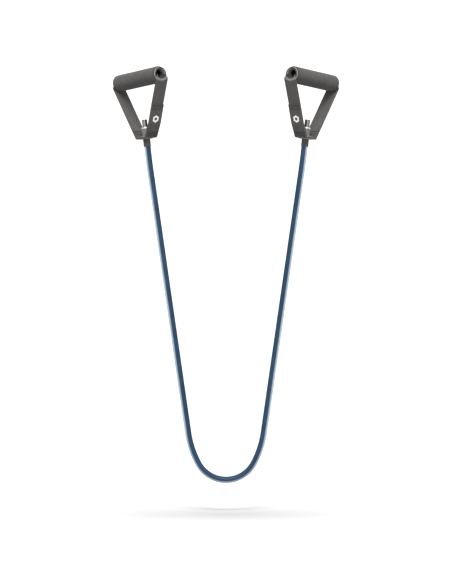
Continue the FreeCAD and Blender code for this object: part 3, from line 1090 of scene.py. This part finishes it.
def stitch_rows():
    """Every row of stitches: its distance along the strap, its loops' lean, and the face it is on."""
    outer, inner = strap_layers()
    _, outboard_foot, foot, _, _ = outer
    inner_top, inner_foot, _, _, _ = inner
    flap_rise = np.linalg.norm(at_height(inner_foot, inner_top, INNER_FLAP_HEIGHT) - inner_foot)
    flap_end = STRAP.distance_to(outboard_foot) - flap_rise
    rows = [(STRAP.distance_to(foot) + reach * MM, BAR_TACK_LEAN, 1) for reach in BAR_TACK_ROWS]
    for back in SEAM_ROWS:
        rows.append((STRAP.along[-1] - back * MM, 0.0, 1))
        rows.append((flap_end + back * MM, 0.0, 1))
        rows.append((back * MM, 0.0, -1))
    return rows


def build_stitching(side):
    """Bar tack at the foot of the inboard leg, and the seam rows at each flap's end."""
    points, faces = [], []
    for distance, lean, face in stitch_rows():
        for i in range(STITCHES_PER_ROW):
            start = (i - STITCHES_PER_ROW / 2) * STITCH_PITCH + (STITCH_PITCH - STITCH_LENGTH) / 2
            zigzag = lean if i % 2 else -lean
            more_points, more_faces = stitch(distance, start, start + STITCH_LENGTH, zigzag, face)
            faces += [tuple(k + len(points) for k in face_points) for face_points in more_faces]
            points += more_points
    piece = add_piece(f"{side}_threads", points, faces, MIRROR[side] @ HANDLE)
    recalculate(piece)
    finish_piece(piece, "strap_thread", f"{side}_handle", f"{side}_strap_stitching")


def build_print(side):
    """A plain hexagon with a round hole, printed on the outer flap, which follows the webbing's bow."""
    _, _, _, bow, _ = strap_layers()[0]
    centre = STRAP.distance_to(bow) + PRINT_DISTANCE
    rings, segments = 5, 72
    points = []
    for lift in (WEB_THICK / 2 + PRINT_THICK, WEB_THICK / 2 - END_GAP):
        for r in range(rings):
            for k in range(segments):
                angle = 2 * math.pi * k / segments
                wedge = (angle + math.pi / 6) % (math.pi / 3) - math.pi / 6
                rim = PRINT_R * math.cos(math.pi / 6) / math.cos(wedge)
                radius = PRINT_HOLE_R + (rim - PRINT_HOLE_R) * r / (rings - 1)
                along = centre + radius * math.sin(angle)
                points.append(STRAP.on_flat(along, radius * math.cos(angle), lift))
    faces = loop_faces(rings, segments)
    lower = rings * segments
    faces += [tuple(i + lower for i in reversed(face)) for face in loop_faces(rings, segments)]
    for k in range(segments):
        after = (k + 1) % segments
        rim, rim_after = (rings - 1) * segments + k, (rings - 1) * segments + after
        faces.append((rim, rim_after, lower + rim_after, lower + rim))
        faces.append((after, k, lower + k, lower + after))
    piece = add_piece(f"{side}_print", points, faces, MIRROR[side] @ HANDLE)
    recalculate(piece)
    finish_piece(piece, "print_white", f"{side}_handle", f"{side}_strap_print")


# Stage

def grey(share):
    """A neutral colour with this linear brightness."""
    return (share, share, share, 1.0)


def floor_material():
    """Plain white studio floor with a faint pool of shade; it throws only part of its light back up."""
    n = Nodes("studio_floor", roughness=0.9, specular=0.0)
    path = n.tree.nodes.new("ShaderNodeLightPath")
    pool = n.tree.nodes.new("ShaderNodeTexGradient")
    pool.gradient_type = "SPHERICAL"
    across, deep = SHADE_REACH
    place = n.stretched((1 / across, 1 / deep, 0), shift=(0, SHADE_FORWARD / deep, 0))
    n.link(place, pool.inputs["Vector"])
    pool_depth = n.math("POWER", pool.outputs["Fac"], 0.8)
    dull, bright = FLOOR_TONES
    seen = n.covered(n.ramp(n.noise(0.6, 2), grey(dull), grey(bright)), BLACK, pool_depth, SHADE_DEPTH)
    return n.finish(n.mix(path.outputs["Is Camera Ray"], grey(FLOOR_BOUNCE), seen))


def build_stage():
    """A wide pale floor a little below the band."""
    half = FLOOR_HALF
    corners = [(-half, -half), (half, -half), (half, half), (-half, half)]
    points = [(x, y, FLOOR_HEIGHT) for x, y in corners]
    floor = add_piece("studio_floor", points, [(0, 1, 2, 3)], Matrix.Identity(4))
    floor.data.materials.append(floor_material())


def build_surround():
    """White to the camera; as light, bright overhead and dim towards the floor.

    The Mix node's plain numbers go into its sockets 2 and 3.
    """
    world = bpy.data.worlds.new("surround")
    world.use_nodes = True
    tree = world.node_tree
    background = tree.nodes["Background"]
    where = tree.nodes.new("ShaderNodeTexCoord")
    split = tree.nodes.new("ShaderNodeSeparateXYZ")
    height = tree.nodes.new("ShaderNodeMapRange")
    height.inputs["From Min"].default_value = -1.0
    height.inputs["To Min"].default_value = SKY_LOW
    height.inputs["To Max"].default_value = SKY_HIGH
    path = tree.nodes.new("ShaderNodeLightPath")
    choice = tree.nodes.new("ShaderNodeMix")
    choice.inputs[3].default_value = BACKDROP
    tree.links.new(where.outputs["Generated"], split.inputs[0])
    tree.links.new(split.outputs["Z"], height.inputs["Value"])
    tree.links.new(path.outputs["Is Camera Ray"], choice.inputs[0])
    tree.links.new(height.outputs[0], choice.inputs[2])
    tree.links.new(choice.outputs[0], background.inputs["Strength"])
    background.inputs["Color"].default_value = grey(1.0)
    bpy.context.scene.world = world


def aim(lamp, place, target):
    """Puts a lamp in place and points it at its target."""
    lamp.location = place
    lamp.rotation_euler = (Vector(target) - Vector(place)).to_track_quat("-Z", "Y").to_euler()
    bpy.context.scene.collection.objects.link(lamp)


def soft_box(name, power, place):
    """A tall soft box that points at the band."""
    box = bpy.data.lights.new(name, "AREA")
    box.shape = "RECTANGLE"
    box.size, box.size_y = BOX_SIZE
    box.energy = power
    aim(bpy.data.objects.new(name, box), place, BOX_TARGET)


def build_lights():
    """A broad key light from above and in front, a soft box at each side and one in the middle."""
    build_surround()
    key = bpy.data.lights.new("key", "SUN")
    key.energy = KEY_POWER
    key.angle = math.radians(KEY_SPREAD_DEG)
    aim(bpy.data.objects.new("key", key), KEY_PLACE, KEY_TARGET)
    x, y, z = SIDE_PLACE
    soft_box("left_box", SIDE_POWER, (-x, y, z))
    soft_box("right_box", SIDE_POWER, (x, y, z))
    soft_box("front_box", FRONT_POWER, FRONT_PLACE)


def build_camera():
    """Long lens, straight on, level with the middle of the picture's height."""
    camera = bpy.data.cameras.new("camera")
    camera.sensor_width = SENSOR
    camera.lens = SENSOR * CAMERA_DISTANCE / PICTURE_HEIGHT
    camera.clip_end = 100
    viewer = bpy.data.objects.new("camera", camera)
    viewer.location = (0, -CAMERA_DISTANCE, CAMERA_HEIGHT)
    viewer.rotation_euler = (math.pi / 2, 0, 0)
    bpy.context.scene.collection.objects.link(viewer)
    bpy.context.scene.camera = viewer


MATERIALS = make_materials()
for side in ("left", "right"):
    build_tube(side)
    build_anchor(side)
    build_grip(side)
    build_strap(side)
    build_stitching(side)
    build_print(side)

bpy.context.scene.view_settings.view_transform = "Standard"
build_stage()
build_lights()
build_camera()
